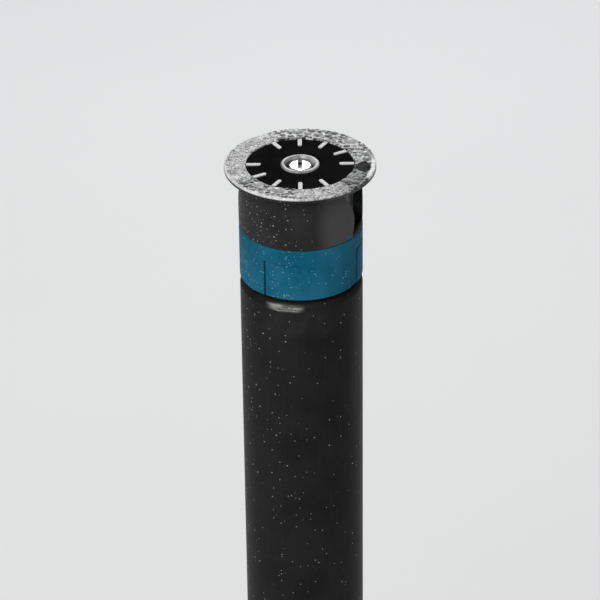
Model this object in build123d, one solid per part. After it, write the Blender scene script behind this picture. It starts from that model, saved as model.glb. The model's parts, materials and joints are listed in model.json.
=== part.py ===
from build123d import *
import os
from math import radians, tan

# Pop up spray sprinkler, stem raised: buried case, screw-on cap with wiper seal, spring-returned
# stem in a ratcheting guide ring, and a two-port nozzle with a colour ring and a radius screw.
# Millimetres, +Z up along the stem, origin at the middle of the case's bottom face.
# Outlines are (radius, height) points turned about Z; a third number rounds that corner.

# ---- driving dimensions ----
STROKE = 150.0            # how far the stem pops up
STEM_R = 11.0             # stem, colour ring and nozzle neck are flush
STEM_BORE_R = 9.3
STEM_LENGTH = 191.1
NOZZLE_HEIGHT = 22.5      # from the stem's mouth to the top of the flange
FLANGE_R = 13.4
DIAL_DROP = 0.4           # how far the dial lies below the flange's rim
DIAL_THICKNESS = 1.0
RING_HEIGHT = 9.85
RING_GAP = 0.75           # dark gap between the stem's mouth and the colour ring
CASE_BORE_R = 16.0
CASE_RIM_Z = 229.4
CAP_R = 28.5
CAP_TOP_Z = 235.0
CAP_HOLE_R = 13.7
CAP_SKIRT_Z = 212.2
CAP_WALL_R = 19.75        # inside of the skirt
CAP_TOP_THICKNESS = 3.0
CAP_THREAD_PITCH = 3.0
CAP_THREAD_WIDTHS = (1.4, 0.7)    # a ridge's width at its root and at its crest
SCALLOPS = 24             # grip ribs and scallops round the cap
RUNNING_GAP = 0.08        # radial gap of the wiper's lips and the ratchet ring on the stem
CLEARANCE = 0.3           # gap between pieces that pass each other

# ---- heights worked out from them, stem raised ----
SEAT_Z = CAP_TOP_Z + 1.6 - NOZZLE_HEIGHT + STROKE     # the mouth of the stem
STEM_FOOT_Z = SEAT_Z - STEM_LENGTH
FLANGE_TOP_Z = SEAT_Z + NOZZLE_HEIGHT
RING_BOTTOM_Z = SEAT_Z + RING_GAP
RING_TOP_Z = RING_BOTTOM_Z + RING_HEIGHT
FOOT_FLANGE_Z = STEM_FOOT_Z + 6.0                     # underside of the stem's foot flange
FOOT_FLANGE_TOP_Z = FOOT_FLANGE_Z + 3.0
RATCHET_Z = FOOT_FLANGE_TOP_Z + 0.7                   # underside of the ratchet ring
RATCHET_HEIGHT = 6.0
DIAL_TOP_Z = FLANGE_TOP_Z - DIAL_DROP
DIAL_FLOOR_Z = DIAL_TOP_Z - DIAL_THICKNESS            # the floor of the flange's recess
WIPER_BOTTOM_Z = CASE_RIM_Z - 8.3
SPRING_SEAT_THICKNESS = 1.45

# ---- inlet, half inch female pipe thread ----
INLET_R = 9.6
INLET_THREAD_R = 10.55
INLET_LENGTH = 15.5
INLET_PITCH = 1.814
INLET_THREAD_WIDTHS = (1.35, 0.3)
VALVE_SEAT_Z = 20.3
WATERWAY_R = 8.0
BOSS_R = 14.2

# ---- guide ribs and ratchet ----
GUIDE_RIBS = 8
GUIDE_RIB_WIDTH = 1.2
GUIDE_RIB_R = 15.0
RATCHET_TEETH = 36
TOOTH_HEIGHT = 0.6

# ---- spring ----
WIRE_R = 0.65
SPRING_R = 13.0
SPRING_TURNS = 17

# ---- nozzle ----
PORT_AZIMUTHS = (345, 165)
PORT_WIDTHS = (7.4, 3.8, 4.4)     # half a port's width under the flange, at its waist and at the ring
CHANNEL_AZIMUTHS = (60, 150, 240, 330)
CHANNEL_WIDTH_DEG = 14.0
CHANNEL_R = 10.7          # floor of a channel between two grip pads
SLIT_R = 10.1             # bottom of the slit along its left side
SLIT_WIDTH_DEG = 1.0
TOP_LINE_DEG = 20.0       # a shallow groove along the upper edge of each grip pad's left end
CHANNEL_TOP_Z = RING_TOP_Z - 2.75
KEYWAY_AZIMUTHS = (75, 255)
MARK_AZIMUTHS = (0, 30, 60, 90, 120, 180, 210, 240, 270, 300)
DIAL_R = 9.5
BEZEL_R = 3.45
MARK_WIDTH = 0.72
MARK_INNER_R = 7.25
SCREW_WELL_R = 2.55
SCREW_HEAD_R = 2.05
SCREW_SHAFT_R = 1.45
SCREW_SLOT_WIDTH = 0.8
SCREW_PITCH = 0.8
THROTTLE_TRAVEL = 3.0
NOZZLE_THREAD_PITCH = 1.0
FINE_THREAD_WIDTHS = (0.5, 0.15)
CHAMBER_R = 9.0           # the bore that the head's wall and the throttle share
SPIGOT_R = 10.1           # where the head plugs into the colour ring


def turned(*outline):
    """The outline turned once round Z. A point's third number is the radius of its corner."""
    corners = [point[:2] for point in outline]
    radii = [point[2] if len(point) > 2 else 0 for point in outline]
    section = make_face(FilletPolyline(*corners, radius=radii, close=True))
    return revolve(Plane.XZ * section, Axis.Z)


def disc(radius, bottom, top):
    """A plain cylinder on Z between two heights."""
    return Pos(0, 0, bottom) * Cylinder(
        radius, top - bottom, align=(Align.CENTER, Align.CENTER, Align.MIN)
    )


def washer(inner, outer, bottom, top):
    """A plain ring on Z between two heights."""
    return disc(outer, bottom, top) - disc(inner, bottom - 1, top + 1)


def radial_block(inner, outer, width, bottom, top, azimuth=0):
    """A box that runs outwards from one radius to another, turned to an azimuth."""
    block = Pos((inner + outer) / 2, 0, (bottom + top) / 2) * Box(
        outer - inner, width, top - bottom
    )
    return Rot(0, 0, azimuth) * block


def radial_rib(width, *outline):
    """A rib of one width whose (radius, height) outline lies in the XZ plane."""
    face = Plane.XZ * make_face(Polyline(*outline, close=True))
    return extrude(face, amount=width / 2, both=True)


def all_round(shape, count, start=0):
    """Copies of a shape spaced evenly about Z."""
    return [Rot(0, 0, start + 360 * i / count) * shape for i in range(count)]


def sector(outer, width_deg, bottom, top, azimuth):
    """A wedge of a cylinder, used to cut a stretch of a wall."""
    half = radians(width_deg / 2)
    face = make_face(
        Polyline(
            (0, 0),
            (outer, -outer * tan(half)),
            (outer, outer * tan(half)),
            close=True,
        )
    )
    return Rot(0, 0, azimuth) * Pos(0, 0, bottom) * extrude(face, amount=top - bottom)


def thread(root, crest, pitch, bottom, turns, widths, lefthand=False):
    """A helical ridge of trapezoid section with its widths at root and crest, or a groove's cutter."""
    root_width, crest_width = widths
    path = Helix(pitch, turns * pitch, root, center=(0, 0, bottom), lefthand=lefthand)
    section = make_face(
        Polyline(
            (root, bottom - root_width / 2),
            (crest, bottom - crest_width / 2),
            (crest, bottom + crest_width / 2),
            (root, bottom + root_width / 2),
            close=True,
        )
    )
    return sweep(Plane.XZ * section, path=path, is_frenet=True)


# ---- buried case and its cap ----


def case():
    """The buried body: inlet boss, straight bore with guide ribs, and a threaded mouth."""
    shell = turned(
        (INLET_R, 0),
        (BOSS_R, 0, 0.8),
        (BOSS_R, 15.0, 1.5),
        (17.3, 21.5, 2.0),
        (17.9, 204.5),
        (18.4, 206.0),
        (18.4, CASE_RIM_Z, 0.5),
        (CASE_BORE_R, CASE_RIM_Z),
        (CASE_BORE_R, 22.5),
        (12.5, 18.0),
        (9.4, 18.0),
        (9.0, VALVE_SEAT_Z),
        (WATERWAY_R, VALVE_SEAT_Z),
        (WATERWAY_R, INLET_LENGTH),
        (INLET_R, INLET_LENGTH),
    )
    guide = radial_block(GUIDE_RIB_R, CASE_BORE_R + 0.6, GUIDE_RIB_WIDTH, 23.5, 197.0)
    wall_rib = radial_rib(1.6, (17.0, 22.0), (19.0, 31.0), (19.2, 193.0), (17.5, 200.0))
    boss_rib = radial_rib(2.6, (13.0, 1.6), (15.4, 2.8), (15.4, 13.0), (14.0, 16.5))
    shell = shell + all_round(guide, GUIDE_RIBS)
    shell = shell + all_round(wall_rib, GUIDE_RIBS) + all_round(boss_rib, GUIDE_RIBS)
    shell = shell + thread(18.35, 19.4, CAP_THREAD_PITCH, 212.5, 4.5, CAP_THREAD_WIDTHS)
    return shell - thread(INLET_R - 0.1, INLET_THREAD_R, INLET_PITCH, -1.0, 8.2, INLET_THREAD_WIDTHS)


def cap():
    """The screw-on cap: scalloped flange at ground level and a ribbed skirt over the case's thread."""
    shell = turned(
        (CAP_HOLE_R, CAP_TOP_Z, 0.3),
        (17.6, CAP_TOP_Z),
        (17.9, CAP_TOP_Z - 0.5),
        (19.3, CAP_TOP_Z - 0.5),
        (19.6, CAP_TOP_Z - 0.15),
        (27.4, CAP_TOP_Z - 1.0, 1.5),
        (CAP_R, CAP_TOP_Z - 2.4, 0.6),
        (CAP_R, CAP_TOP_Z - 3.8, 0.5),
        (23.2, CAP_TOP_Z - 4.6, 1.2),
        (22.5, CAP_SKIRT_Z + 1.2),
        (21.8, CAP_SKIRT_Z),
        (CAP_WALL_R, CAP_SKIRT_Z),
        (CAP_WALL_R, CAP_TOP_Z - CAP_TOP_THICKNESS),
        (CAP_HOLE_R, CAP_TOP_Z - CAP_TOP_THICKNESS),
    )
    grip = radial_rib(1.5, (22.0, 213.6), (23.9, 214.8), (24.3, 228.6), (22.6, 231.0))
    scallop = Pos(CAP_R + 1.5, 0, CAP_TOP_Z - 5) * Cylinder(2.4, 12)
    shell = shell + all_round(grip, SCALLOPS, start=180 / SCALLOPS) - all_round(scallop, SCALLOPS)
    return shell + thread(CAP_WALL_R + 0.05, 18.75, CAP_THREAD_PITCH, 214.0, 3.7, CAP_THREAD_WIDTHS)


def wiper_seal():
    """Soft seal clamped between the cap and the case's rim, with a lip at each end on the stem."""
    lip_r = STEM_R + RUNNING_GAP
    return turned(
        (lip_r, CAP_TOP_Z - 1.2),
        (lip_r, CAP_TOP_Z - 0.8),
        (11.8, CAP_TOP_Z),
        (13.4, CAP_TOP_Z, 0.3),
        (13.4, CAP_TOP_Z - 3.05),
        (17.8, CAP_TOP_Z - 3.05, 0.3),
        (17.8, CASE_RIM_Z + 0.05, 0.3),
        (15.0, CASE_RIM_Z + 0.05),
        (14.4, WIPER_BOTTOM_Z, 0.4),
        (11.7, WIPER_BOTTOM_Z),
        (lip_r, WIPER_BOTTOM_Z + 0.8),
        (lip_r, WIPER_BOTTOM_Z + 1.3),
        (12.2, WIPER_BOTTOM_Z + 3.0),
        (12.2, CAP_TOP_Z - 2.6),
    )


def spring_seat():
    """Hard ring that spreads the spring's push under the wiper seal."""
    top = WIPER_BOTTOM_Z - 0.05
    return turned(
        (11.5, top),
        (15.7, top, 0.3),
        (15.7, top - SPRING_SEAT_THICKNESS, 0.3),
        (11.5, top - SPRING_SEAT_THICKNESS),
    )


def retraction_spring():
    """Stainless wire coiled round the stem, squeezed between the ratchet ring and its upper seat."""
    low = RATCHET_Z + RATCHET_HEIGHT + WIRE_R + 0.05
    high = WIPER_BOTTOM_Z - 0.05 - SPRING_SEAT_THICKNESS - WIRE_R - 0.05
    path = Helix((high - low) / SPRING_TURNS, high - low, SPRING_R, center=(0, 0, low))
    section = Plane(path @ 0, z_dir=path % 0) * Circle(WIRE_R)
    return sweep(section, path=path, is_frenet=True)


# ---- ratchet ring and stem ----


def tooth(bottom, height):
    """One radial ratchet tooth, a low wedge; a negative height points it down."""
    face = make_face(
        Polyline((-0.45, bottom), (0.45, bottom), (0, bottom + height), close=True)
    )
    return Pos(11.7, 0, 0) * extrude(Plane.YZ * face, amount=2.2)


def ratchet_ring():
    """Slides on the case's guide ribs without turning; its teeth face the stem's foot flange."""
    ring = turned(
        (STEM_R + RUNNING_GAP, RATCHET_Z),
        (14.2, RATCHET_Z),
        (CASE_BORE_R - CLEARANCE, RATCHET_Z + 1.0),
        (CASE_BORE_R - CLEARANCE, RATCHET_Z + RATCHET_HEIGHT, 0.3),
        (STEM_R + RUNNING_GAP, RATCHET_Z + RATCHET_HEIGHT),
    )
    slot_width = GUIDE_RIB_WIDTH + 2 * CLEARANCE
    slot_bottom = RATCHET_Z - 1.0
    slot_top = RATCHET_Z + RATCHET_HEIGHT + 1.0
    slot = radial_block(GUIDE_RIB_R - CLEARANCE, 17.0, slot_width, slot_bottom, slot_top)
    ring = ring - all_round(slot, GUIDE_RIBS)
    return ring + all_round(
        tooth(RATCHET_Z + 0.02, -TOOTH_HEIGHT), RATCHET_TEETH, start=180 / RATCHET_TEETH
    )


def stem():
    """The pop-up tube: threaded mouth, long bore, toothed foot flange and side inlets at its foot."""
    floor = 1.6
    tube = turned(
        (0, STEM_FOOT_Z),
        (STEM_R, STEM_FOOT_Z, 0.5),
        (STEM_R, FOOT_FLANGE_Z),
        (14.2, FOOT_FLANGE_Z, 0.4),
        (14.2, FOOT_FLANGE_TOP_Z),
        (STEM_R, FOOT_FLANGE_TOP_Z),
        (STEM_R, SEAT_Z, 1.4),
        (9.3, SEAT_Z),
        (9.0, SEAT_Z - 0.4),
        (9.0, SEAT_Z - 11.0),
        (STEM_BORE_R, SEAT_Z - 12.0),
        (STEM_BORE_R, STEM_FOOT_Z + floor),
        (0, STEM_FOOT_Z + floor),
    )
    window = radial_block(8.0, 12.5, 6.2, STEM_FOOT_Z + 2.2, FOOT_FLANGE_Z - 0.6)
    stalk_hole = disc(2.0, STEM_FOOT_Z - 1, STEM_FOOT_Z + 3)
    gate_mark = Rot(0, 0, 268) * Pos(STEM_R, 0, SEAT_Z - 27.5) * Rot(0, 90, 0) * Cylinder(1.1, 0.24)
    tube = tube - all_round(window, 6, start=30) - stalk_hole - gate_mark
    tube = tube + all_round(tooth(FOOT_FLANGE_TOP_Z - 0.02, TOOTH_HEIGHT), RATCHET_TEETH)
    return tube + thread(9.05, 8.5, NOZZLE_THREAD_PITCH, SEAT_Z - 9.9, 8.6, FINE_THREAD_WIDTHS)


def check_seal():
    """Rubber plug snapped into the stem's foot; it shuts the inlet when the stem is down."""
    top = STEM_FOOT_Z - 0.05
    bottom = VALVE_SEAT_Z + 0.1 + STROKE
    return turned(
        (0, bottom + 0.7),
        (6.6, bottom + 0.7),
        (7.4, bottom),
        (9.6, bottom, 0.3),
        (9.6, top, 0.4),
        (1.85, top),
        (1.85, STEM_FOOT_Z + 1.7),
        (2.6, STEM_FOOT_Z + 1.9),
        (1.5, STEM_FOOT_Z + 3.6, 0.3),
        (0, STEM_FOOT_Z + 3.6),
    )


# ---- nozzle ----


def nozzle_gasket():
    """Flat ring squeezed between the stem's mouth and the nozzle."""
    return washer(9.35, 9.85, SEAT_Z + 0.02, SEAT_Z + 0.92)


def nozzle_base():
    """Colour ring with grip pads, the throttle chamber inside it and the threaded spigot below."""
    spigot_end = SEAT_Z - 9.0
    body = turned(
        (6.6, spigot_end),
        (8.3, spigot_end, 0.4),
        (8.3, SEAT_Z + 0.95),
        (9.9, SEAT_Z + 0.95),
        (9.9, RING_BOTTOM_Z),
        (STEM_R, RING_BOTTOM_Z, 0.25),
        (STEM_R, RING_TOP_Z, 0.35),
        (SPIGOT_R, RING_TOP_Z),
        (SPIGOT_R, RING_TOP_Z - 2.2),
        (CHAMBER_R, RING_TOP_Z - 2.2),
        (CHAMBER_R, SEAT_Z + 1.8),
        (6.6, SEAT_Z + 1.8),
    )
    wall = washer(CHANNEL_R, 12.0, RING_BOTTOM_Z - 1, CHANNEL_TOP_Z)
    top_line = washer(STEM_R - 0.12, 12.0, CHANNEL_TOP_Z - 0.35, CHANNEL_TOP_Z)
    slit_wall = washer(SLIT_R, 12.0, RING_BOTTOM_Z - 1, CHANNEL_TOP_Z)
    for azimuth in CHANNEL_AZIMUTHS:
        low, high = RING_BOTTOM_Z - 1, CHANNEL_TOP_Z + 1
        body = body - (wall & sector(13, CHANNEL_WIDTH_DEG, low, high, azimuth))
        slit_azimuth = azimuth - CHANNEL_WIDTH_DEG / 2 + SLIT_WIDTH_DEG / 2
        body = body - (slit_wall & sector(13, SLIT_WIDTH_DEG, low, high, slit_azimuth))
        line_azimuth = azimuth + CHANNEL_WIDTH_DEG / 2 + TOP_LINE_DEG / 2
        body = body - (top_line & sector(13, TOP_LINE_DEG, low, high, line_azimuth))
    for azimuth in KEYWAY_AZIMUTHS:
        body = body + radial_block(
            7.4, CHAMBER_R + 0.3, 1.5, SEAT_Z + 1.6, RING_TOP_Z - 2.4, azimuth
        )
    return body + thread(8.25, 8.85, NOZZLE_THREAD_PITCH, SEAT_Z - 8.4, 7.4, FINE_THREAD_WIDTHS)


def port_mouth(distance, narrower):
    """The hourglass outline of a port at one distance from Z, its sides drawn in by an amount."""
    heights = (FLANGE_TOP_Z - 2.0, FLANGE_TOP_Z - 7.5, RING_TOP_Z)
    points = [(width - narrower, height) for width, height in zip(PORT_WIDTHS, heights)]
    right = ThreePointArc(*points)
    left = ThreePointArc(*[(-across, height) for across, height in points])
    face = make_face([right, left, Line(left @ 0, right @ 0), Line(left @ 1, right @ 1)])
    return Pos(distance, 0, 0) * (Plane.YZ * face)


def port_cut(azimuth):
    """The scoop of one spray port: wide under the flange, waisted, and narrower inside than out."""
    return Rot(0, 0, azimuth) * loft([port_mouth(8.9, 1.0), port_mouth(12.2, 0)])


def nozzle_head():
    """Flange, neck and hub in one moulding, with a cell behind each port for its fan insert."""
    top = FLANGE_TOP_Z
    body = turned(
        (1.6, RING_TOP_Z + 0.1),
        (4.1, RING_TOP_Z + 0.1),
        (4.1, DIAL_FLOOR_Z - 1.8),
        (9.2, DIAL_FLOOR_Z - 1.8, 0.5),
        (9.2, RING_TOP_Z - 2.0),
        (SPIGOT_R - 0.05, RING_TOP_Z - 2.0),
        (SPIGOT_R - 0.05, RING_TOP_Z + 0.12),
        (STEM_R, RING_TOP_Z + 0.12, 0.3),
        (STEM_R, top - 1.1, 0.7),
        (FLANGE_R, top - 1.1, 0.3),
        (FLANGE_R, top - 0.1, 0.5),
        (DIAL_R + 0.06, top, 0.08),
        (DIAL_R + 0.06, DIAL_FLOOR_Z),
        (SCREW_WELL_R, DIAL_FLOOR_Z),
        (SCREW_WELL_R, DIAL_FLOOR_Z - 1.7),
        (2.3, DIAL_FLOOR_Z - 1.7),
        (2.3, DIAL_FLOOR_Z - 2.7),
        (1.6, DIAL_FLOOR_Z - 2.7),
    )
    for azimuth in PORT_AZIMUTHS:
        body = body + radial_block(3.6, 9.6, 7.2, RING_TOP_Z + 0.1, DIAL_FLOOR_Z - 1.5, azimuth)
    body = body - disc(1.6, RING_TOP_Z - 3, DIAL_FLOOR_Z)
    for azimuth in PORT_AZIMUTHS:
        body = body - radial_block(4.8, 9.5, 5.4, RING_TOP_Z - 0.5, DIAL_FLOOR_Z - 1.9, azimuth)
        body = body - port_cut(azimuth)
    return body


def fan_insert(azimuth):
    """The plastic chip behind a port: a narrow throat that flares into a fan-shaped outlet."""
    low, high = RING_TOP_Z + 0.1, DIAL_FLOOR_Z - 1.95
    chip = Pos(7.1, 0, (low + high) / 2) * Box(4.5, 5.3, high - low)
    throat = make_face(
        Polyline((6.2, -0.5), (7.6, -0.5), (9.6, -1.9), (9.6, 1.9), (7.6, 0.5), (6.2, 0.5), close=True)
    )
    chip = chip - Pos(0, 0, low + 1.1) * extrude(throat, amount=high - low - 2.2)
    chip = chip - Pos(5.9, 0, low) * Cylinder(1.0, 9.0)
    chip = chip & disc(9.25, low - 1, high + 1)
    return Rot(0, 0, azimuth) * chip


def mark(azimuth):
    """One raised degree mark on the dial, its inner end rounded."""
    low, high = DIAL_TOP_Z - 0.25, DIAL_TOP_Z + 0.18
    bar = radial_block(MARK_INNER_R, DIAL_R - 0.05, MARK_WIDTH, low, high)
    bar = bar + Pos(MARK_INNER_R, 0, (low + high) / 2) * Cylinder(MARK_WIDTH / 2, high - low)
    return Rot(0, 0, azimuth) * bar


def dial_plate():
    """Black disc set into the flange, with a pocket under each degree mark."""
    plate = turned(
        (BEZEL_R + 0.03, DIAL_FLOOR_Z),
        (DIAL_R, DIAL_FLOOR_Z),
        (DIAL_R, DIAL_TOP_Z, 0.1),
        (BEZEL_R + 0.03, DIAL_TOP_Z),
    )
    return plate - [mark(azimuth) for azimuth in MARK_AZIMUTHS]


def dial_marks():
    """The degree marks, every 30 degrees except where the two fans are aimed."""
    return Compound(children=[mark(azimuth) for azimuth in MARK_AZIMUTHS])


def screw_bezel():
    """Pale raised ring round the radius screw."""
    return turned(
        (SCREW_WELL_R, DIAL_FLOOR_Z),
        (BEZEL_R, DIAL_FLOOR_Z),
        (BEZEL_R, FLANGE_TOP_Z - 0.1, 0.3),
        (SCREW_WELL_R + 0.25, FLANGE_TOP_Z - 0.1, 0.1),
        (SCREW_WELL_R, FLANGE_TOP_Z - 0.5),
    )


def screw_o_ring():
    """Seals the radius screw's shaft under its head."""
    return Pos(0, 0, DIAL_FLOOR_Z - 2.2) * Torus(SCREW_SHAFT_R + 0.42, 0.35)


def radius_screw():
    """Stainless slotted screw, held in the hub by its clip; left-hand thread on its lower end."""
    top = FLANGE_TOP_Z - 0.5
    head_bottom = DIAL_FLOOR_Z - 1.65
    tip = SEAT_Z + 1.2
    body = turned(
        (0, tip),
        (1.1, tip, 0.3),
        (1.1, RING_TOP_Z - 0.1),
        (SCREW_SHAFT_R, RING_TOP_Z - 0.1),
        (SCREW_SHAFT_R, head_bottom),
        (SCREW_HEAD_R, head_bottom),
        (SCREW_HEAD_R, top, 0.35),
        (0, top),
    )
    slot = Pos(0, 0, top) * Box(SCREW_SLOT_WIDTH, 6, 2.0)
    ridge = thread(1.05, 1.4, SCREW_PITCH, tip + 0.6, 9.2, FINE_THREAD_WIDTHS, lefthand=True)
    return body - slot + ridge


def screw_clip():
    """Open snap ring under the hub that keeps the radius screw from lifting out."""
    clip = washer(1.15, 2.7, RING_TOP_Z - 0.7, RING_TOP_Z - 0.15)
    return clip - radial_block(0, 4, 1.2, RING_TOP_Z - 1, RING_TOP_Z + 1, 45)


def throttle():
    """Plug that the screw drives down its chamber to cut the flow, keyed so that it can't turn."""
    bottom = SEAT_Z + 1.9 + THROTTLE_TRAVEL
    body = turned(
        (1.6, bottom - 1.6),
        (4.6, bottom - 1.6),
        (6.2, bottom),
        (8.5, bottom, 0.2),
        (8.5, bottom + 1.4, 0.2),
        (3.2, bottom + 1.4, 0.6),
        (2.9, bottom + 4.2, 0.3),
        (1.6, bottom + 4.2),
    )
    key = radial_block(7.15, 9.5, 2.0, bottom - 1, bottom + 3)
    flow_hole = Pos(6.6, 0, bottom) * Cylinder(0.8, 6)
    body = body - [Rot(0, 0, azimuth) * key for azimuth in KEYWAY_AZIMUTHS]
    return body - all_round(flow_hole, 6, start=15)


def filter_screen():
    """Basket of fine slots that hangs from the nozzle's spigot inside the stem."""
    top, bottom = SEAT_Z - 9.05, SEAT_Z - 40.0
    basket = turned(
        (0, bottom),
        (5.2, bottom, 0.6),
        (6.4, top - 1.2),
        (8.2, top - 1.2),
        (8.2, top, 0.2),
        (6.5, top),
        (6.5, top + 3.5, 0.2),
        (5.7, top + 3.5),
        (5.7, top - 1.4),
        (4.4, bottom + 0.9),
        (0, bottom + 0.9),
    )
    rows, columns = 12, 8
    pitch = (top - bottom - 5.0) / rows
    for row in range(rows):
        low = bottom + 2.0 + row * pitch
        slots = [
            radial_block(3.5, 8.0, 2.6, low, low + pitch - 0.9, 360 * column / columns)
            for column in range(columns)
        ]
        basket = basket - slots
    return basket


PARTS = {
    "case": case,
    "cap": cap,
    "wiper_seal": wiper_seal,
    "spring_seat": spring_seat,
    "retraction_spring": retraction_spring,
    "ratchet_ring": ratchet_ring,
    "stem": stem,
    "check_seal": check_seal,
    "nozzle_gasket": nozzle_gasket,
    "nozzle_base": nozzle_base,
    "nozzle_head": nozzle_head,
    "fan_insert_right": lambda: fan_insert(PORT_AZIMUTHS[0]),
    "fan_insert_left": lambda: fan_insert(PORT_AZIMUTHS[1]),
    "dial_plate": dial_plate,
    "dial_marks": dial_marks,
    "screw_bezel": screw_bezel,
    "screw_o_ring": screw_o_ring,
    "radius_screw": radius_screw,
    "screw_clip": screw_clip,
    "throttle": throttle,
    "filter_screen": filter_screen,
}

os.makedirs("parts", exist_ok=True)
for name, make in PARTS.items():
    export_step(make(), f"parts/{name}.step")
    print("wrote", name)
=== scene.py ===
import json
import math
import random

import bpy
from mathutils import Euler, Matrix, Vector


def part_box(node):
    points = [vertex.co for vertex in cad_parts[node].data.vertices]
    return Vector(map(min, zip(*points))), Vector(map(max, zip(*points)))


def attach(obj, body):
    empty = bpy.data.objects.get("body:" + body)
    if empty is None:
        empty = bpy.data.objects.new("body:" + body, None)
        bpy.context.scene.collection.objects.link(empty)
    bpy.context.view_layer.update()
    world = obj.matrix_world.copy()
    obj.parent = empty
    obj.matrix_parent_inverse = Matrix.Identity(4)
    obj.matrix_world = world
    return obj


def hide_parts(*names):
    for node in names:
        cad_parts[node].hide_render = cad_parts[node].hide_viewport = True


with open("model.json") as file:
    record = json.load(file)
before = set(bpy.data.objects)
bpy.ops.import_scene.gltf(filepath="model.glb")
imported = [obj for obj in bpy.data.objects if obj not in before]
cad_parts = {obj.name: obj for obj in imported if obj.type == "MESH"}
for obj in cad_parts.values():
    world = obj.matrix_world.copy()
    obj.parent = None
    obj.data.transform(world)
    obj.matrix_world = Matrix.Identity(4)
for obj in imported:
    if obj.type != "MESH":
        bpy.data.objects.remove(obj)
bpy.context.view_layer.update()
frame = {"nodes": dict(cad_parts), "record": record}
nodes = frame["nodes"]
mm = 0.001
print("frame loaded,", len(nodes), "CAD nodes")


class Wire:
    # one output socket of a material's tree; arithmetic on wires adds Math nodes
    def __init__(self, tree, socket=None):
        self.tree = tree
        self.socket = socket

    def node(self, kind, settings=None, values=None, output=0):
        made = self.tree.nodes.new("ShaderNode" + kind)
        for name, setting in (settings or {}).items():
            setattr(made, name, setting)
        for key, value in (values or {}).items():
            self.feed(made.inputs[key], value)
        return Wire(self.tree, made.outputs[output] if made.outputs else None)

    def feed(self, target, value):
        if isinstance(value, Wire):
            self.tree.links.new(value.socket, target)
        else:
            target.default_value = value

    def firstThree(self):
        # the first three outputs of the node that this wire leaves
        return [Wire(self.tree, socket) for socket in self.socket.node.outputs[:3]]

    def maths(self, operation, first, second=0.0):
        return self.node("Math", {"operation": operation}, {0: first, 1: second})

    def __add__(self, other):
        return self.maths("ADD", self, other)

    def __sub__(self, other):
        return self.maths("SUBTRACT", self, other)

    def __rsub__(self, other):
        return self.maths("SUBTRACT", other, self)

    def __mul__(self, other):
        return self.maths("MULTIPLY", self, other)

    def __truediv__(self, other):
        return self.maths("DIVIDE", self, other)

    def __rtruediv__(self, other):
        return self.maths("DIVIDE", other, self)

    def __lt__(self, other):
        return self.maths("LESS_THAN", self, other)

    def __gt__(self, other):
        return self.maths("GREATER_THAN", self, other)

    __radd__ = __add__
    __rmul__ = __mul__

    def smooth(self, low, high):
        # 0 below low, 1 above high, eased between
        return self.node("MapRange", {"interpolation_type": "SMOOTHSTEP"},
                         {"Value": self, "From Min": low, "From Max": high})

    def clamped(self):
        return self.node("Clamp", {}, {"Value": self})

    def largest(self, other):
        return self.maths("MAXIMUM", self, other)

    def squareRoot(self):
        return self.maths("SQRT", self)


def rgba(colour):
    return (colour[0], colour[1], colour[2], 1.0)


def blendColour(factor, first, second):
    # a mix of two colours, each a wire or three numbers
    wires = [c if isinstance(c, Wire) else rgba(c) for c in (first, second)]
    return factor.node("Mix", {"data_type": "RGBA"}, {0: factor, 6: wires[0], 7: wires[1]}, output=2)


def startMaterial(name):
    material = bpy.data.materials.new(name)
    material.use_nodes = True
    material.node_tree.nodes.clear()
    return material, Wire(material.node_tree)


def finishMaterial(material, root, shader, height=None):
    # joins the surface shader, with an optional height in millimetres, to the output
    values = dict(shader)
    if height is not None:
        values["Normal"] = root.node("Bump", {}, {"Height": height, "Strength": 1.0, "Distance": mm})
    surface = root.node("BsdfPrincipled", {}, values)
    root.node("OutputMaterial", {}, {"Surface": surface})
    return material


def place(root):
    # the point on the object, in millimetres
    point = root.node("TexCoord", output=3)
    return root.node("VectorMath", {"operation": "SCALE"}, {0: point, 3: 1 / mm})


def axesOf(point):
    return point.node("SeparateXYZ", {}, {0: point}).firstThree()


def splitColour(colour):
    return colour.node("SeparateColor", {}, {0: colour}).firstThree()


def stretched(point, scales):
    return point.node("VectorMath", {"operation": "MULTIPLY"}, {0: point, 1: scales})


def noise(point, scale, detail=3.0, roughness=0.55):
    return point.node("TexNoise", {}, {"Vector": point, "Scale": scale, "Detail": detail,
                                       "Roughness": roughness})


def towards(x, y, radius, azimuth, half, core=0.2):
    # 1 within the core of an azimuth, easing to 0 at half its width on either side
    aim = (x * math.cos(math.radians(azimuth)) + y * math.sin(math.radians(azimuth))) / radius
    return aim.smooth(math.cos(math.radians(half)), math.cos(math.radians(half * core)))


waterBead = {
    "shift": (1.0, 0.7, 1.3),       # a seed moves the pattern this way
    "disorder": 0.9, "least": 0.35,  # the smallest bead, as a share of the largest
    "edge": (0.02, 0.2), "lit": (-0.35, 0.45),    # where the outline and the painted highlight on the upper half ease in
}


def droplets(point, cell, share, radius, seed):
    # scattered round water beads: (how much of a bead is here, its dome from 0 to 1, its upper half that
    # takes a painted highlight)
    # share may be a wire, so that beads gather in places
    shift = tuple(seed * step for step in waterBead["shift"])
    moved = point.node("VectorMath", {"operation": "ADD"}, {0: point, 1: shift})
    cells = point.node("TexVoronoi", {"voronoi_dimensions": "3D", "feature": "F1"},
                       {"Vector": moved, "Scale": 1.0 / cell, "Randomness": waterBead["disorder"]})
    distance, colour, middle = cells.firstThree()
    chance, growth, _ = splitColour(colour)
    size = radius * (waterBead["least"] + (1.0 - waterBead["least"]) * growth)
    away = distance * cell / size
    dome = (1.0 - away * away).largest(0.0) * (chance < share)
    rise = (axesOf(moved)[2] - axesOf(middle)[2] * cell) / size
    return dome.smooth(*waterBead["edge"]), dome, rise.smooth(*waterBead["lit"])


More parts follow.
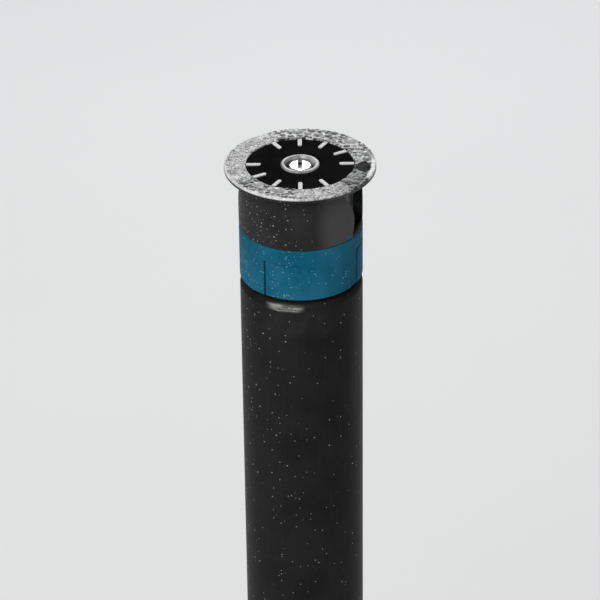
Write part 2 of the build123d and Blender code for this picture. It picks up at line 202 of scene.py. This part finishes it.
def beaded(point, look, tone, crowd):
    # two sizes of water bead over a tone, each with a painted highlight on its upper half and painted shade
    # on its lower: (the tone with beads, how wet, their height in millimetres)
    wet, height = 0.0, 0.0
    for size in ("fine", "big"):
        radius, share = look[size + "Radius"], crowd * look[size + "Share"]
        mask, dome, lit = droplets(point, look[size + "Cell"], share, radius, look[size + "Seed"])
        # painted light: each bead is painted lighter on its upper half as a highlight, and darker below as
        # shade
        bead = blendColour(lit, look["beadShade"], look["beadHighlight"])
        tone = blendColour(mask * look["beadPaint"], tone, bead)
        height = dome * (radius * look["beadRise"]) + height
        wet = mask.largest(wet)
    return tone, wet, height


def crowding(x, y, look):
    # how crowded the beads are: spray drifts back onto the windward side
    windX, windY = look["wind"]
    windward = (x * windX + y * windY).smooth(*look["windEdges"])
    return look["lee"] + windward * look["windward"]


def mouldedTone(point, look):
    # the dry plastic's colour, with faint draw lines down it, and the broad clouds behind it
    broad = noise(point, look["broadScale"])
    lines = noise(stretched(point, look["lineStretch"]), look["lineScale"], detail=2.0)
    tone = blendColour(broad.smooth(*look["broadEdges"]), look["dark"], look["light"])
    return blendColour(lines.smooth(*look["lineEdges"]) * look["lineShare"], tone, look["lineColour"]), broad


waterSheenLook = {"soft": 0.35, "streakEdges": (0.35, 0.7), "least": 0.2}


def paintedWaterSheen(point, tone, film):
    # painted sheen: a lighter, streaked stretch of the wall between two heights, a painted glint of the
    # water lying there
    azimuth, half, low, high, stretch, share, colour = film
    x, y, z = axesOf(point)
    soft = (high - low) * waterSheenLook["soft"]
    band = z.smooth(low, low + soft) * (1.0 - z.smooth(high - soft, high))
    streaks = noise(stretched(point, stretch), 1.0).smooth(*waterSheenLook["streakEdges"])
    streaks = waterSheenLook["least"] + (1.0 - waterSheenLook["least"]) * streaks
    sheen = towards(x, y, (x * x + y * y).squareRoot(), azimuth, half) * band * streaks
    return blendColour(sheen * share, tone, colour)


def wetPlastic(name, look):
    # moulded satin plastic with fine grain, films of water and scattered water beads
    material, root = startMaterial(name)
    point = place(root)
    x, y, _ = axesOf(point)
    tone, broad = mouldedTone(point, look)
    grain = noise(point, look["grainScale"], detail=2.0)
    for film in look["paintedSheens"]:
        tone = paintedWaterSheen(point, tone, film)
    tone, wet, height = beaded(point, look, tone, crowding(x, y, look))
    rough = (look["roughness"] + (broad - 0.5) * look["roughSwing"]) * (1.0 - wet)
    rough += wet * look["beadRoughness"]
    return finishMaterial(material, root, {
        "Base Color": tone, "Roughness": rough.clamped(), "Specular IOR Level": look["specular"],
    }, height + grain * look["grain"])


def plainPlastic(name, look):
    # dry moulded plastic or rubber, mottled, with grain and a trace of dust
    material, root = startMaterial(name)
    point = place(root)
    broad = noise(point, look["broadScale"], detail=4.0)
    grain = noise(point, look["grainScale"], detail=2.0)
    specks = noise(point, look["dustScale"], detail=5.0, roughness=0.7).smooth(*look["dustEdges"])
    tone = blendColour(broad.smooth(*look["broadEdges"]), look["dark"], look["light"])
    tone = blendColour(specks * look["dustShare"], tone, look["dust"])
    rough = look["roughness"] + (broad - 0.5) * look["roughSwing"] + specks * look["dustRoughness"]
    return finishMaterial(material, root, {
        "Base Color": tone, "Roughness": rough.clamped(), "Specular IOR Level": look["specular"],
    }, grain * look["grain"])


def turnedMetal(name, look):
    # steel with circular tool lines and small scratches
    material, root = startMaterial(name)
    point = place(root)
    x, y, _ = axesOf(point)
    along = (x * x + y * y).squareRoot() * look["ringScale"]
    rings = root.node("TexNoise", {"noise_dimensions": "1D"}, {"W": along, "Scale": 1.0})
    smears = noise(point, look["smearScale"], detail=4.0)
    tone = blendColour(rings.smooth(*look["ringEdges"]), look["dark"], look["light"])
    rough = look["roughness"] + (rings - 0.5) * look["ringSwing"] + (smears - 0.5) * look["smearSwing"]
    return finishMaterial(material, root, {
        "Base Color": tone, "Metallic": 1.0, "Roughness": rough.clamped(),
    }, rings * look["ringDepth"])


# a scale is in waves per millimetre; a cell, a radius, a rise and a depth are in millimetres or shares
# of a radius; edges are the two levels between which something eases in
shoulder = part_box("stem")[1].z / mm
wetDefaults = {
    "broadScale": 0.12, "broadEdges": (0.35, 0.65), "grainScale": 6.0, "grain": 0.006,
    "lineScale": 2.2, "lineStretch": (1.0, 1.0, 0.03), "lineEdges": (0.55, 0.8), "lineShare": 0.35,
    "fineCell": 0.7, "fineShare": 0.30, "fineRadius": 0.16, "fineSeed": 3.0,
    "bigCell": 3.0, "bigShare": 0.16, "bigRadius": 0.36, "bigSeed": 11.0,
    "wind": (-0.85, -0.5), "windEdges": (2.0, 10.0), "windward": 0.9, "lee": 0.45,
    # the bead colours below are a painted highlight and a painted shade on each water bead
    "beadRise": 0.5, "beadPaint": 0.6, "beadHighlight": (0.42, 0.44, 0.45), "beadShade": (0.004, 0.004, 0.004),
    "specular": 0.07, "roughness": 0.48, "roughSwing": 0.18, "beadRoughness": 0.08,
    "paintedSheens": (),    # painted sheens of wet plastic, each (azimuth, half width, lowest, highest, streaks' frequencies, strength, colour)
}
blackLook = dict(
    wetDefaults, dark=(0.0085, 0.0080, 0.0080), light=(0.0125, 0.0120, 0.0120),
    lineColour=(0.021, 0.021, 0.0215), paintedSheens=(
        # painted highlights of wet plastic: the shoulder's glint, glinting vertical streaks to the right,
        # and a softer sheen on the front below the shoulder
        (253, 21, shoulder - 1.9, shoulder - 0.25, (0.3, 0.3, 2.6), 1.0, (0.34, 0.34, 0.34)),
        (334, 12, shoulder - 30.0, shoulder - 0.3, (2.0, 2.0, 0.06), 0.7, (0.045, 0.042, 0.045)),
        (268, 50, shoulder - 8.0, shoulder - 0.5, (0.8, 0.8, 0.3), 0.5, (0.028, 0.028, 0.028))))
headLook = dict(
    blackLook, dark=(0.011, 0.011, 0.011), light=(0.019, 0.019, 0.0195), specular=0.16, fineShare=0.5,
    windward=1.5, bigCell=1.7, bigShare=0.5, bigRadius=0.34, paintedSheens=())
blueLook = dict(
    wetDefaults, dark=(0.0030, 0.082, 0.138), light=(0.012, 0.112, 0.188), lineColour=(0.024, 0.15, 0.24),
    # the blue beads' colours are a painted highlight and a painted shade
    lineShare=0.2, beadPaint=0.55, fineCell=0.6, beadHighlight=(0.22, 0.50, 0.62), beadShade=(0.0, 0.06, 0.11),
    fineShare=0.55, windward=2.4, specular=0.04, roughness=0.52)
dryDefaults = {
    "broadEdges": (0.3, 0.7), "dustEdges": (0.58, 0.75), "dustRoughness": 0.1, "roughSwing": 0.25,
}
caseLook = dict(
    dryDefaults, dark=(0.011, 0.011, 0.011), light=(0.018, 0.018, 0.018), dust=(0.16, 0.14, 0.12),
    broadScale=0.08, grainScale=4.0, grain=0.01, dustScale=0.35, dustShare=0.25, roughness=0.5, specular=0.4)
rubberLook = dict(
    caseLook, dark=(0.010, 0.010, 0.010), light=(0.020, 0.020, 0.020), roughness=0.75, dustShare=0.15,
    specular=0.3)
acetalLook = dict(
    caseLook, dark=(0.36, 0.36, 0.34), light=(0.46, 0.46, 0.44), dust=(0.25, 0.22, 0.18), dustShare=0.2,
    roughness=0.4)
whiteLook = dict(acetalLook, dark=(0.55, 0.55, 0.52), light=(0.66, 0.66, 0.63))
insertLook = dict(caseLook, dark=(0.07, 0.075, 0.08), light=(0.12, 0.125, 0.13), dustShare=0.1)
filterLook = dict(acetalLook, dark=(0.24, 0.24, 0.23), light=(0.33, 0.33, 0.32))
dialLook = dict(
    dryDefaults, dark=(0.0050, 0.0046, 0.0048), light=(0.0072, 0.0066, 0.0069), dust=(0.05, 0.05, 0.05),
    broadScale=0.3, grainScale=8.0, grain=0.003, dustScale=1.6, dustShare=0.05, roughness=0.6, specular=0.0)
markLook = dict(
    dryDefaults, dark=(0.34, 0.35, 0.35), light=(0.46, 0.47, 0.47), dust=(0.15, 0.15, 0.15),
    broadScale=0.9, grainScale=7.0, grain=0.01, dustScale=2.4, dustShare=0.3, roughness=0.38, specular=0.4)
bezelLook = dict(
    markLook, dark=(0.10, 0.10, 0.10), light=(0.34, 0.34, 0.34), dust=(0.03, 0.03, 0.03),
    broadScale=0.55, dustShare=0.6, roughness=0.3, specular=0.5)
steelLook = {
    "ringScale": 9.0, "ringEdges": (0.35, 0.65), "ringDepth": 0.006, "ringSwing": 0.2,
    "smearScale": 1.2, "smearSwing": 0.25, "roughness": 0.2,
    "dark": (0.62, 0.61, 0.60), "light": (0.84, 0.83, 0.82),
}
wireLook = dict(
    steelLook, ringScale=5.0, ringDepth=0.004, smearScale=0.8, roughness=0.3,
    dark=(0.45, 0.45, 0.44), light=(0.62, 0.62, 0.61))

slotMaterials = {
    "case_black": plainPlastic("casePlastic", caseLook),
    "stem_black": wetPlastic("stemPlastic", blackLook),
    "head_black": wetPlastic("headPlastic", headLook),
    "ring_blue": wetPlastic("bluePlastic", blueLook),
    "dial_black": plainPlastic("dialPlastic", dialLook),
    "mark_grey": plainPlastic("markPlastic", markLook),
    "stainless": turnedMetal("stainlessSteel", steelLook),
    "spring_steel": turnedMetal("springSteel", wireLook),
    "seal_rubber": plainPlastic("sealRubber", rubberLook),
    "guide_plastic": plainPlastic("guideAcetal", acetalLook),
    "insert_plastic": plainPlastic("insertPlastic", insertLook),
    "throttle_plastic": plainPlastic("throttleAcetal", whiteLook),
    "filter_plastic": plainPlastic("filterPlastic", filterLook),
}
nodeSlots = {entry["node"]: entry["material_slot"] for entry in frame["record"]["subparts"]}
ownMaterials = {"screw_bezel": plainPlastic("bezelPlastic", bezelLook)}    # wetter and darker than its slot
for name, node in nodes.items():
    node.data.materials.clear()
    node.data.materials.append(ownMaterials.get(name, slotMaterials[nodeSlots[name]]))
print("materials made,", len(slotMaterials) + len(ownMaterials))


head = {
    "body": "stem_body", "turns": 900, "flangeRows": 34, "neckRows": 60,
    "crease": 42,                             # edges sharper than this many degrees stay crisp
    "flangeTop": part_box("nozzle_head")[1].z / mm, "ringTop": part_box("nozzle_base")[1].z / mm,
    "flangeR": 13.4, "flangeThickness": 1.05,
    "recessR": 9.56, "recessDepth": 1.4,      # the dial's seat
    "edgeRound": 0.30, "lipRound": 0.28, "filletOut": 0.75, "filletDown": 0.8,
    "neckR": 11.0, "footGap": 0.12, "footRound": 0.26,  # the neck ends this far above the ring
    "plugR": 10.05, "plugDepth": 2.0,                   # the plug goes down into the ring
    "chamberR": 9.2, "deck": 1.8, "chamfer": 0.5,       # the hollow, and what is left over it
    "hubR": 4.1, "boreR": 1.6, "screwHeadR": 2.55,
    "sealR": 2.3, "sealDepths": (1.7, 2.7),   # the o ring's groove, below the dial's seat
    "ports": (345.0, 165.0), "portBack": 8.9, "portFront": 12.2, "portTaper": 1.0, "portDrop": 2.0,
    "portWidths": (7.4, 3.8, 4.4),            # half widths at the flange, at the waist and at the ring
}
beads = {
    "tries": 30000, "cell": 2.4, "seed": 4, "band": (9.5, 13.5),
    "sizePower": 1.5,             # above 1, there are more small beads than big ones
    "drop": 0.27,                 # the bare annulus lies this far below the highest bead
    "domePower": 0.7, "domeRise": 0.5,
    # azimuth and half width of the stretches with small, crowded beads, painted bright
    "fineZones": ((135, 22), (182, 28), (288, 24)),
    # least and greatest radius, spacing, darkest and lightest body and the tone of what shows between them,
    # all painted reflection of the water
    "fine": {"least": 0.20, "most": 0.52, "spacing": 0.78, "body": (0.25, 0.80), "gap": 0.12},
    "coarse": {"least": 0.46, "most": 1.5, "spacing": 0.74, "body": (0.0, 0.28), "gap": 0.72},
    "glint": (-0.15, 0.4, 0.14, 0.30),    # the painted glint: its place on a bead, and the radii it fades between
    "rim": (0.68, 0.97, 0.6, 0.5),        # the rim's painted light: the radii it eases in between, its light and how that leans
    "paintedDimming": {"azimuth": 335, "half": 30, "core": 0.6, "left": 0.25},    # beads here are painted darker, with less painted light
    "bare": (11.15, -1.5, 1.25, 2.3),     # a smooth film with no beads: middle and half widths
    "bareMargin": 1.15,                   # no bead's middle lies within this many half widths of it
    "crescentHighlight": {"azimuth": -10, "half": 20, "core": 0.7, "inner": 12.45, "soft": 0.25},  # a painted highlight along the edge by it
    "edge": (12.95, 13.15, 0.85),         # the flange's painted edge highlight: the radii it eases in between, light
    "edgeTurn": (60, 100),                # degrees from +X between which it eases in
}


def meshObject(name, points, faces, smooth=True):
    mesh = bpy.data.meshes.new(name)
    mesh.from_pydata([(x * mm, y * mm, z * mm) for x, y, z in points], [], faces)
    mesh.update()
    if smooth:
        mesh.polygons.foreach_set("use_smooth", [True] * len(mesh.polygons))
    made = bpy.data.objects.new(name, mesh)
    bpy.context.scene.collection.objects.link(made)
    return made


def arcBetween(start, corner, end, steps):
    # a curved corner of an outline, from start to end, pulled towards the corner point
    points = []
    for i in range(steps + 1):
        t = i / steps
        points.append(tuple((1 - t) ** 2 * s + 2 * t * (1 - t) * c + t * t * e
                            for s, c, e in zip(start, corner, end)))
    return points


def lineBetween(start, end, steps):
    return [tuple(s + (e - s) * i / steps for s, e in zip(start, end)) for i in range(steps + 1)]


def lathe(name, outline, turns, shape):
    # turns a closed (radius, height) outline round Z; shape moves each (radius, height, angle)
    points, faces = [], []
    rows = len(outline)
    for i in range(turns):
        angle = 2 * math.pi * i / turns
        for radius, height in outline:
            r, h = shape(radius, height, angle)
            points.append((r * math.cos(angle), r * math.sin(angle), h))
    for i in range(turns):
        a, b = i * rows, (i + 1) % turns * rows
        for j in range(rows):
            k = (j + 1) % rows
            faces.append((a + j, b + j, b + k, a + k))
    return meshObject(name, points, faces)


def ease(value, low, high):
    share = min(max((value - low) / (high - low), 0.0), 1.0)
    return share * share * (3 - 2 * share)


def turnFrom(x, y, azimuth):
    # degrees from an azimuth to this place, either way round
    return abs((math.degrees(math.atan2(y, x)) - azimuth + 180) % 360 - 180)


def nearAzimuth(x, y, zone):
    # 1 within the core of a zone, easing to 0 at half its width on either side
    return 1 - ease(turnFrom(x, y, zone["azimuth"]), zone["half"] * zone["core"], zone["half"])


def beadsFor(x, y):
    fine = any(turnFrom(x, y, middle) < half for middle, half in beads["fineZones"])
    return beads["fine"] if fine else beads["coarse"]


def bareHere(x, y):
    # below 1 inside the bare film
    bareX, bareY, halfX, halfY = beads["bare"]
    return math.hypot((x - bareX) / halfX, (y - bareY) / halfY)


def cellsRound(grid, x, y):
    # the beads in the grid cell of a place and in the eight round it
    column, row = int(x // beads["cell"]), int(y // beads["cell"])
    return [bead for i in (-1, 0, 1) for j in (-1, 0, 1) for bead in grid.get((column + i, row + j), [])]


def scatterBeads():
    # water beads crowded on the annulus, kept in a grid of cells as (x, y, radius, shade)
    rng = random.Random(beads["seed"])
    grid = {}
    for _ in range(beads["tries"]):
        radius, angle = rng.uniform(*beads["band"]), rng.uniform(0, 2 * math.pi)
        x, y = radius * math.cos(angle), radius * math.sin(angle)
        kind = beadsFor(x, y)
        bead = kind["least"] + (kind["most"] - kind["least"]) * rng.random() ** beads["sizePower"]
        shade = rng.random()
        if bareHere(x, y) < beads["bareMargin"]:
            continue
        if all(math.hypot(x - bx, y - by) > kind["spacing"] * (bead + size)
               for bx, by, size, _ in cellsRound(grid, x, y)):
            cell = (int(x // beads["cell"]), int(y // beads["cell"]))
            grid.setdefault(cell, []).append((x, y, bead, shade))
    return grid


beadGrid = scatterBeads()


def beadOver(x, y):
    # the bead that stands highest here: its height, this place's offset from its middle, its shade
    best = (0.0, 0.0, 0.0, 0.0)
    for bx, by, bead, shade in cellsRound(beadGrid, x, y):
        u, v = (x - bx) / bead, (y - by) / bead
        if u * u + v * v < 1:
            tallest = min(bead * beads["domeRise"], beads["drop"])
            best = max(best, ((1 - u * u - v * v) ** beads["domePower"] * tallest, u, v, shade))
    return best


def paintedBeadLight(x, y):
    # painted light on the water here, from 0 to 1: a bead has a dark body of painted reflection, a painted
    # glint and a painted lit near rim
    kind = beadsFor(x, y)
    height, u, v, shade = beadOver(x, y)
    tone = kind["gap"]
    if height > 0:
        low, high = kind["body"]
        glintU, glintV, glintInner, glintOuter = beads["glint"]
        rimInner, rimOuter, rimLight, rimLean = beads["rim"]
        glint = 1 - ease(math.hypot(u - glintU, v - glintV), glintInner, glintOuter)
        rim = ease(math.hypot(u, v), rimInner, rimOuter) * min(max(rimLight - rimLean * v, 0), 1)
        tone = low + (high - low) * shade
        tone += (1 - tone) * max(glint, rim)
    # painted shade dims the beads in one stretch; a painted highlight lies on the crescent and along the
    # flange's edge
    tone *= 1 - (1 - beads["paintedDimming"]["left"]) * nearAzimuth(x, y, beads["paintedDimming"])
    radius = math.hypot(x, y)
    inner, soft = beads["crescentHighlight"]["inner"], beads["crescentHighlight"]["soft"]
    tone = max(tone, nearAzimuth(x, y, beads["crescentHighlight"]) * ease(radius, inner, inner + soft))
    inner, outer, light = beads["edge"]
    return max(tone, light * ease(radius, inner, outer) * ease(turnFrom(x, y, 0), *beads["edgeTurn"]))


def portHalfWidth(share):
    # the hourglass: half a port's width on its front plane, from 0 at the flange to 1 at the ring
    top, waist, bottom = head["portWidths"]
    return (top * (1 - share) * (1 - 2 * share) + 4 * waist * share * (1 - share)
            + bottom * share * (2 * share - 1))


def portSurface(radius, height, angle):
    # the neck's radius here, drawn in to the scoop's back where a port opens
    portTop, portBottom = head["flangeTop"] - head["portDrop"], head["ringTop"]
    back, front = head["portBack"], head["portFront"]
    share = (portTop - height) / (portTop - portBottom)
    if not 0 <= share <= 1:
        return radius
    for azimuth in head["ports"]:
        turn = angle - math.radians(azimuth)
        turn = math.atan2(math.sin(turn), math.cos(turn))
        x, y = radius * math.cos(turn), abs(radius * math.sin(turn))
        if x > back:
            draw = (front - x) / (front - back) * head["portTaper"]
            if y < portHalfWidth(share) - draw:
                return back / math.cos(turn)
    return radius


def headOutline(base):
    # (radius, height) round one side: over the flange, down the neck, and back up inside to the dial's seat
    top, ring = head["flangeTop"], head["ringTop"]
    under, floor = top - head["flangeThickness"], top - head["recessDepth"]
    flange, neck, recess = head["flangeR"], head["neckR"], head["recessR"]
    edge, lip, footRound = head["edgeRound"], head["lipRound"], head["footRound"]
    plug, plugFoot, foot = head["plugR"], ring - head["plugDepth"], ring + head["footGap"]
    chamber, deck, chamfer = head["chamberR"], floor - head["deck"], head["chamfer"]
    hub, hubFoot, bore = head["hubR"], ring + 0.1, head["boreR"]
    seal, screw = head["sealR"], head["screwHeadR"]
    sealTop, sealFoot = [floor - depth for depth in head["sealDepths"]]
    filletFoot = under - head["filletDown"]
    outline = lineBetween((recess, base), (flange - edge, base), head["flangeRows"])
    outline += arcBetween((flange - 0.24, base - 0.01), (flange, base - 0.04), (flange, base - edge), 6)
    outline += arcBetween((flange, under + lip), (flange, under), (flange - lip, under), 4)
    outline += arcBetween((neck + head["filletOut"], under), (neck, under), (neck, filletFoot), 6)
    outline += lineBetween((neck, filletFoot - 0.1), (neck, foot + footRound + 0.07), head["neckRows"])
    outline += arcBetween((neck, foot + footRound), (neck, foot), (neck - footRound, foot), 4)
    outline += [(plug, foot), (plug, plugFoot), (chamber, plugFoot),
                (chamber, deck - chamfer), (chamber - chamfer, deck), (hub, deck), (hub, hubFoot),
                (bore, hubFoot), (bore, sealFoot), (seal, sealFoot), (seal, sealTop),
                (screw, sealTop), (screw, floor), (recess, floor)]
    return outline


def makeHead():
    base, recess = head["flangeTop"] - beads["drop"], head["recessR"]

    def shape(radius, height, angle):
        # the beads stand on the annulus, clear of the dial's seat
        if height > base - 0.06 and radius > recess + 0.02:
            height += beadOver(radius * math.cos(angle), radius * math.sin(angle))[0]
        elif radius == head["neckR"]:
            radius = portSurface(radius, height, angle)
        return radius, height

    made = lathe("nozzleHead", headOutline(base), head["turns"], shape)
    made.data.set_sharp_from_angle(angle=math.radians(head["crease"]))
    # each vertex on the annulus keeps the painted light of the water as an attribute
    tones = made.data.attributes.new("paintedBeadLight", "FLOAT", "POINT")
    for vertex, tone in zip(made.data.vertices, tones.data):
        x, y, z = vertex.co / mm
        if z > base - 0.4 and math.hypot(x, y) > recess - 0.1:
            tone.value = paintedBeadLight(x, y)
    return made


wetLook = dict(
    headLook, level=head["flangeTop"] - beads["drop"], faceEdges=(-0.34, -0.1),
    speckScale=1.5, speckle=1.1, cloudScale=0.5, cloudiness=0.7, bareEdges=(0.75, 1.1), bareWave=0.8,
    # the painted reflection of the water runs between these two colours
    waterDark=(0.016, 0.016, 0.017), waterLight=(0.66, 0.66, 0.66), film=(0.004, 0.004, 0.005),
    lineEdges=(0.5, 0.75), lineShare=0.4, windEdges=(3.0, 10.0), windward=1.9, lee=0.1,
    # a painted highlight beside one port, standing in for light from the spray, and painted shade inside the
    # ports
    sprayLightAzimuth=318, sprayLightHalf=36, sprayLightShare=0.9, paintedSprayLight=(0.062, 0.060, 0.060),
    scoopShadeColour=(0.005, 0.005, 0.005), scoopEdges=(-0.35, -0.04), beadGloss=0.34,
    faceRoughness=0.24, faceSwing=0.2, bareRoughness=0.4, speckDepth=0.008, faceDepth=0.05,
    coat=0.12, coatRoughness=0.12)


def wetHeadMaterial(look):
    # the head's plastic, with crowded beads on its upper face painted silvery: painted reflections and
    # glints of the water
    material, root = startMaterial("wetHead")
    point = place(root)
    x, y, z = axesOf(point)
    radius = (x * x + y * y).squareRoot()
    upper = z.smooth(*[look["level"] + edge for edge in look["faceEdges"]])
    specks = noise(point, look["speckScale"], roughness=0.65)
    clouds = noise(point, look["cloudScale"], roughness=0.6)
    # the painted light of the water beads, read from the mesh
    tone = root.node("Attribute", {"attribute_name": "paintedBeadLight"}, output=2)
    tone += (specks - 0.5) * look["speckle"] + (clouds - 0.5) * look["cloudiness"]
    paintedWater = blendColour(tone.clamped(), look["waterDark"], look["waterLight"])
    bareX, bareY, halfX, halfY = beads["bare"]
    across, along = (x - bareX) / halfX, (y - bareY) / halfY
    away = across * across + along * along + (clouds - 0.5) * look["bareWave"]
    bare = upper * (1.0 - away.smooth(*look["bareEdges"]))
    face = blendColour(bare, paintedWater, look["film"])
    # painted light from the spray beside one port, and painted shade inside both ports
    dry, _ = mouldedTone(point, look)
    paintedSprayLight = towards(x, y, radius, look["sprayLightAzimuth"], look["sprayLightHalf"]) * look["sprayLightShare"]
    dry = blendColour(paintedSprayLight, dry, look["paintedSprayLight"])
    scoopShade = 1.0 - radius.smooth(*[head["neckR"] + edge for edge in look["scoopEdges"]])
    dry = blendColour(scoopShade, dry, look["scoopShadeColour"])
    side, wet, domes = beaded(point, look, dry, crowding(x, y, look))
    rough = (look["roughness"] - wet * look["beadGloss"]) * (1.0 - upper)
    rough += upper * (look["faceRoughness"] + clouds * look["faceSwing"]) + bare * look["bareRoughness"]
    height = domes * (1.0 - upper) + specks * (look["speckDepth"] + upper * look["faceDepth"] * (1.0 - bare))
    return finishMaterial(material, root, {
        "Base Color": blendColour(upper, side, face), "Roughness": rough.clamped(),
        "Coat Weight": (upper - bare) * look["coat"], "Coat Roughness": look["coatRoughness"],
        "Specular IOR Level": look["specular"],
    }, height)


headObject = makeHead()
headObject.data.materials.append(wetHeadMaterial(wetLook))
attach(headObject, head["body"])
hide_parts("nozzle_head")
print("head made with", sum(len(cell) for cell in beadGrid.values()), "beads")


studio = {
    "floorSize": 6.0, "floorColour": (0.80, 0.80, 0.79), "floorShade": 0.96, "floorScale": 0.004,
    "floorRoughness": 0.8, "floorSpecular": 0.2,
    "worldColour": (0.85, 0.88, 0.92), "worldLevel": 0.32,
    "lights": (
        # name, place in metres, aims at, size, power, colour
        ("key", (-0.42, -0.80, 1.15), (0, 0, 0.37), 0.7, 13.5, (1.0, 0.98, 0.95)),
        ("back", (0.05, 1.1, 1.0), (0, 0, 0.38), 1.0, 9.0, (0.97, 0.98, 1.0)),
        ("fill", (0.9, -0.7, 0.55), (0, 0, 0.3), 0.9, 0.4, (1.0, 1.0, 1.0)),
    ),
}


def makeFloor():
    size = studio["floorSize"] / mm
    corners = [(-size, -size, 0), (size, -size, 0), (size, size, 0), (-size, size, 0)]
    made = meshObject("floor", corners, [(0, 1, 2, 3)], smooth=False)
    material, root = startMaterial("paleFloor")
    cloud = noise(place(root), studio["floorScale"], detail=2.0)
    darker = [c * studio["floorShade"] for c in studio["floorColour"]]
    finishMaterial(material, root, {
        "Base Color": blendColour(cloud, studio["floorColour"], darker),
        "Roughness": studio["floorRoughness"], "Specular IOR Level": studio["floorSpecular"],
    })
    made.data.materials.append(material)


def makeLight(name, spot, aim, size, power, colour):
    lamp = bpy.data.lights.new(name, "AREA")
    lamp.shape = "DISK"
    lamp.size = size
    lamp.energy = power
    lamp.color = colour
    made = bpy.data.objects.new(name, lamp)
    made.location = spot
    made.rotation_euler = (Vector(aim) - Vector(spot)).to_track_quat("-Z", "Y").to_euler()
    bpy.context.scene.collection.objects.link(made)


def makeWorld():
    world = bpy.data.worlds.new("studioAir")
    world.use_nodes = True
    background = world.node_tree.nodes["Background"]
    background.inputs[0].default_value = rgba(studio["worldColour"])
    background.inputs[1].default_value = studio["worldLevel"]
    bpy.context.scene.world = world


camera = {
    "distance": 0.5447, "dip": 27.82,    # metres from the flange's middle; degrees above its level
    "pitch": 30.36, "yaw": 0.036, "roll": -0.70, "lens": 186.1, "sensor": 36.0, "clip": 0.01,
}


def makeCamera():
    lens = bpy.data.cameras.new("camera")
    lens.lens = camera["lens"]
    lens.sensor_width = camera["sensor"]
    lens.clip_start = camera["clip"]
    made = bpy.data.objects.new("camera", lens)
    dip = math.radians(camera["dip"])
    flange = Vector((0, 0, head["flangeTop"] * mm))
    made.location = flange + camera["distance"] * Vector((0, -math.cos(dip), math.sin(dip)))
    aim = Euler((math.radians(90 - camera["pitch"]), 0, math.radians(camera["yaw"])), "XYZ").to_quaternion()
    roll = Euler((0, 0, math.radians(camera["roll"]))).to_quaternion()
    made.rotation_mode = "QUATERNION"
    made.rotation_quaternion = aim @ roll
    bpy.context.scene.collection.objects.link(made)
    bpy.context.scene.camera = made


makeFloor()
for light in studio["lights"]:
    makeLight(*light)
makeWorld()
makeCamera()
bpy.context.scene.view_settings.view_transform = "Standard"
print("stage, lights and camera made")
